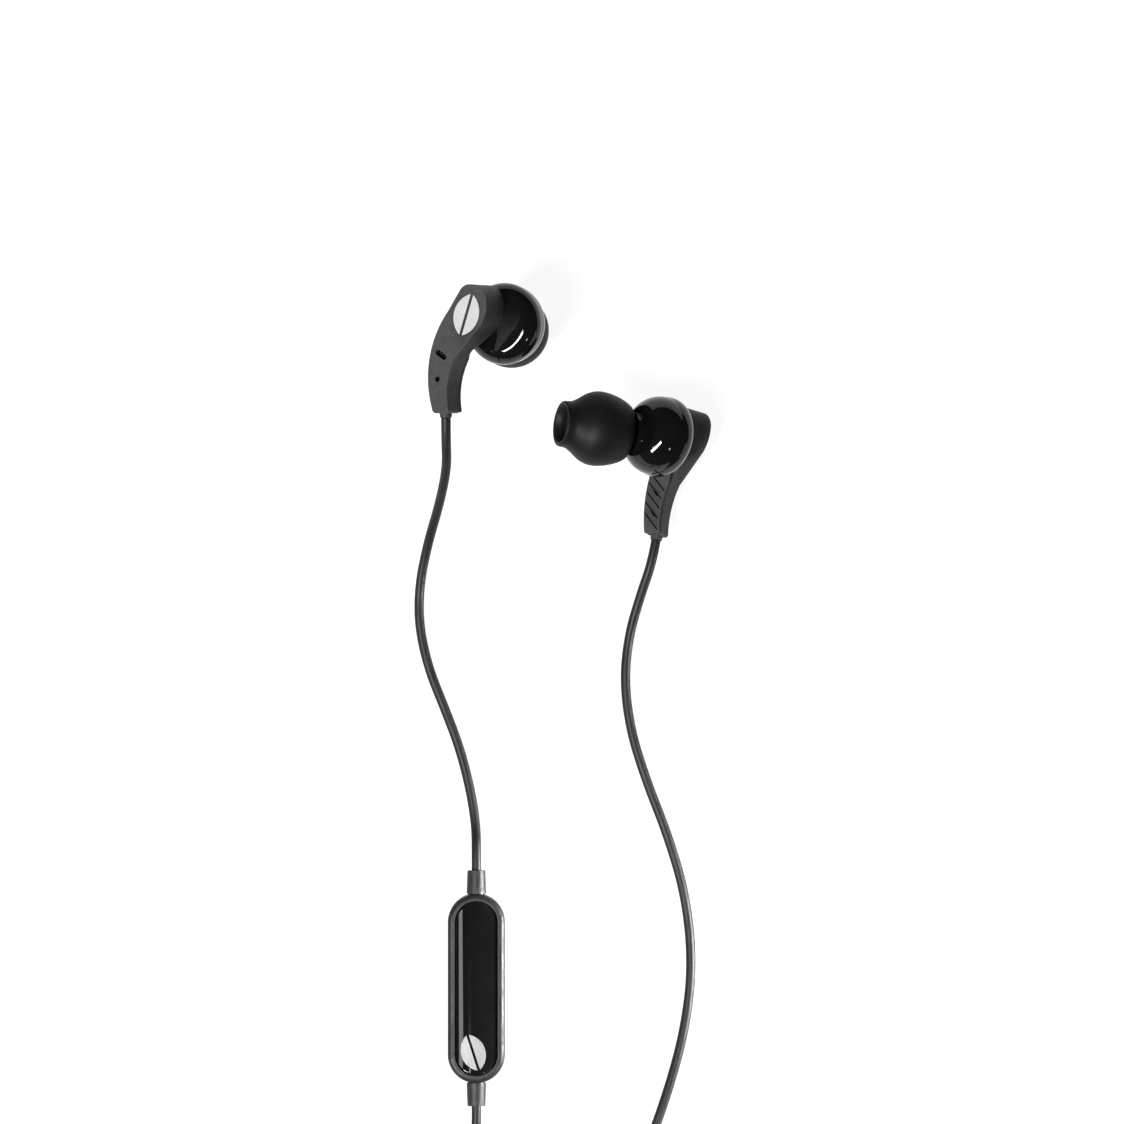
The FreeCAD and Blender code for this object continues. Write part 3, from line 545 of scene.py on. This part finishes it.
def make_plug_relief():
    """Bend relief: a tapered sleeve with soft rings moulded round it."""
    length = size("plug_relief").y / MM
    root = size("plug_relief").x / MM / 2
    corners = [(0.9, 0.0), (RELIEF_TIP_R - 0.1, 0.0), (RELIEF_TIP_R, 0.15)]
    pitch = (length - 0.6) / RELIEF_RINGS
    for ring in range(RELIEF_RINGS):
        z = 0.3 + ring * pitch
        radius = RELIEF_TIP_R + (root - RELIEF_TIP_R) * z / length
        corners += [(radius, z), (radius, z + 0.45 * pitch),
                    (radius - RING_DEPTH, z + 0.55 * pitch), (radius - RING_DEPTH, z + 0.85 * pitch)]
    corners += [(root, length - 0.25), (root, length), (1.0, length)]
    mesh = lathe("plug_bend_relief", smooth_through(corners, 4), plug_frame(), segments=64)
    add_piece("plug_bend_relief", mesh, ROOT, "soft_black", "plug_relief")


def make_plug_handle():
    """Plug handle: a rounded barrel with grip grooves near the jack."""
    low = size("plug_relief").y / MM
    top = low + size("plug_handle").y / MM
    radius = size("plug_handle").x / MM / 2
    corners = [(1.0, low), (HANDLE_MOUTH_R, low), (HANDLE_RIM_R, low + 0.1),
               (radius - 0.05, low + 0.9), (radius, low + 2.0)]
    for groove in range(GRIP_GROOVES):
        z = top - GRIP_FROM_JACK + GRIP_PITCH * groove
        corners += [(radius, z - 0.35), (radius - GRIP_DEPTH, z - 0.15),
                    (radius - GRIP_DEPTH, z + 0.15), (radius, z + 0.35)]
    corners += [(radius, top - 1.6), (radius - 0.08, top - 0.7), (HANDLE_RIM_R, top - 0.12),
                (HANDLE_MOUTH_R, top), (1.2, top)]
    mesh = lathe("plug_grip", smooth_through(corners, 4), plug_frame(), segments=80)
    add_piece("plug_grip", mesh, ROOT, "matte_black", "plug_handle")


# ---- tie ---------------------------------------------------------------------------------
# In millimetres, round the coil's bundle in the x-z plane.

STRAP_THICK = 0.45
STRAP_CORNER = 2.2
STRAP_WAIST = 0.05      # part of its breadth that the strap loses between its corners
TAIL_BREADTH = 0.86     # breadth of the lapped tail, against the strap's own
TAIL_START = 8
TAIL_END = 22


def strap_path(half_width, height, corner, steps=8):
    """Rounded rectangle in the x-z plane, from the middle of its foot, with outward directions."""
    path = []
    around = [(half_width, 0), (half_width, height), (-half_width, height), (-half_width, 0)]
    for k, (corner_x, corner_z) in enumerate(around):
        inward_x = corner_x - math.copysign(corner, corner_x)
        inward_z = corner if corner_z == 0 else height - corner
        for step in range(steps + 1):
            angle = math.radians(-90 + 90 * k + 90 * step / steps)
            way = (math.cos(angle), math.sin(angle))
            path.append((inward_x + corner * way[0], inward_z + corner * way[1], way))
    return path


def strap_section(half):
    """Rounded section of the strap as (depth, y), from its outer face inward."""
    edge, back = 0.08, STRAP_THICK - 0.08
    return [(edge, half - 0.25), (0.0, half - 0.45), (0.0, 0.45 - half), (edge, 0.25 - half),
            (STRAP_THICK / 2, -half), (back, 0.25 - half), (STRAP_THICK, 0.45 - half),
            (STRAP_THICK, half - 0.45), (back, half - 0.25), (STRAP_THICK / 2, half)]


def strap_rings(shape, path, half_breadth, middle):
    """Rings of vertices along a path, narrower between the corners."""
    rings = []
    for k, (x, z, way) in enumerate(path):
        half = half_breadth * (1.0 - STRAP_WAIST * abs(math.sin(2 * math.pi * k / len(path))))
        rings.append([shape.verts.new(((x - way[0] * depth) * MM + middle.x, middle.y + y * MM,
                                       (z - way[1] * depth) * MM))
                      for depth, y in strap_section(half)])
    return rings


def make_tie():
    """Soft strap round the bundle: rounded edges, a slight waist, and a tail that laps over the top."""
    tie = size("cord_tie") / MM
    middle = centre("cord_tie")
    loop = strap_path(tie.x / 2 - 0.02, tie.z - 0.02, STRAP_CORNER)
    tail = [(x - way[0] * STRAP_THICK, z - way[1] * STRAP_THICK, way)
            for x, z, way in loop[TAIL_START:TAIL_END]]
    shape = bmesh.new()
    skin(shape, strap_rings(shape, loop, tie.y / 2, middle), closed=True)
    tail_rings = strap_rings(shape, tail, tie.y / 2 * TAIL_BREADTH, middle)
    skin(shape, tail_rings)
    shape.faces.new(tail_rings[0])
    shape.faces.new(tail_rings[-1])
    add_piece("strap", smooth_mesh("strap", shape), ROOT, "soft_black", "cord_tie")


# ---- floor and light ---------------------------------------------------------------------

FLOOR_SIZE = 6.0
FLOOR_DROP = 0.2 * MM   # how far the floor lies below the part, so that the two don't flicker
FLOOR_GLOW = 0.92       # the floor gives off its own light, so the shadows on it are faint
WORLD_GLOW = 0.08


def make_floor():
    bpy.ops.mesh.primitive_plane_add(size=FLOOR_SIZE, location=(0, 0, -FLOOR_DROP))
    floor = bpy.context.object
    floor.name = "floor"
    material, shader = new_material("floor_white", grey(0.15), 0.9, specular=0.1)
    tree = material.node_tree
    tree.links.new(mix_color(tree, noise(tree, 3.0), grey(0.155), base_color=grey(0.145)),
                   shader.inputs["Base Color"])
    shader.inputs["Emission Color"].default_value = (1.0, 1.0, 1.0, 1.0)
    shader.inputs["Emission Strength"].default_value = FLOOR_GLOW
    floor.data.materials.append(material)


def area_light(name, place, target, width, height, power, spread=180):
    """Rectangular soft light that looks at target. Spread is in degrees."""
    data = bpy.data.lights.new(name, "AREA")
    data.shape = "RECTANGLE"
    data.size = width
    data.size_y = height
    data.energy = power
    data.spread = math.radians(spread)
    light = bpy.data.objects.new(name, data)
    light.location = place
    light.rotation_mode = "QUATERNION"
    light.rotation_quaternion = (Vector(target) - Vector(place)).to_track_quat("-Z", "Y")
    bpy.context.collection.objects.link(light)


def make_world():
    world = bpy.data.worlds.new("studio")
    world.use_nodes = True
    back = world.node_tree.nodes["Background"]
    back.inputs["Color"].default_value = (1.0, 1.0, 1.0, 1.0)
    back.inputs["Strength"].default_value = WORLD_GLOW
    bpy.context.scene.world = world


def make_light():
    """A strong key from the left, a small glint, low light from the right and two for the remote."""
    origin = (0, 0, 0)
    area_light("key_strip", (-0.7, -0.5, 1.25), origin, width=0.22, height=1.1, power=50.0)
    area_light("glint_box", (0.6, -0.8, 1.1), origin, width=0.12, height=0.18, power=1.3)
    area_light("low_strip", (1.3, -0.75, 0.22), origin, width=0.9, height=0.1, power=1.5)
    remote = centre("remote_shell")
    area_light("remote_rim_strip", remote + Vector((0.19, 0, 0.05)), remote,
               width=0.03, height=0.1, power=0.24, spread=50)
    area_light("plate_strip", remote + Vector((-0.137, -0.012, 0.207)), remote,
               width=0.061, height=0.034, power=0.05)


def main():
    bpy.context.scene.view_settings.view_transform = "Standard"
    make_camera()
    make_plug_relief()
    make_plug_handle()
    make_tie()
    make_cords()
    paint_cad_nodes()
    smooth_cad_nodes()
    for side in ("left", "right"):
        make_ear_tip(side)
    make_floor()
    make_world()
    make_light()


main()
